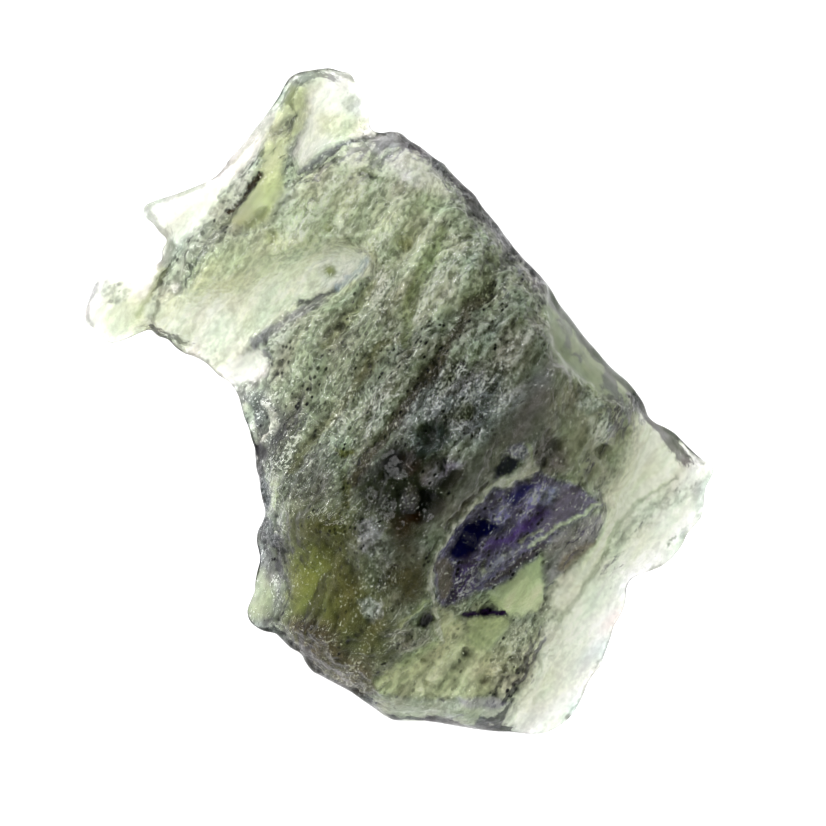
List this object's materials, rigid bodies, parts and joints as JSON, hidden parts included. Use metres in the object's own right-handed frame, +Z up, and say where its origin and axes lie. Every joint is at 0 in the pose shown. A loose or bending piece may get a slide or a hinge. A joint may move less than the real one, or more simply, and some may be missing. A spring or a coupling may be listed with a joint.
{
  "type": "raw moldavite",
  "caption": "Raw green natural glass stone, thick and etched with flow grooves in the middle, thinning to clear flakes at two ends, resting on its flatter side.",
  "frame": {"origin": "on the surface that the stone rests on, under the middle of its outline seen from above", "axes": "+Z up through the stone's thickness, +Y from its broad foot towards its pale tip, +X towards its pale wedge, as in the picture seen from above"},
  "size_m": [0.025, 0.0266, 0.0072],
  "materials": {
    "green_glass": "bottle-green natural glass, finely pitted and satin where etched, bright and smooth on the broken scars"
  },
  "bodies": {
    "root": {"moldavite": "green_glass"}
  },
  "joints": []
}
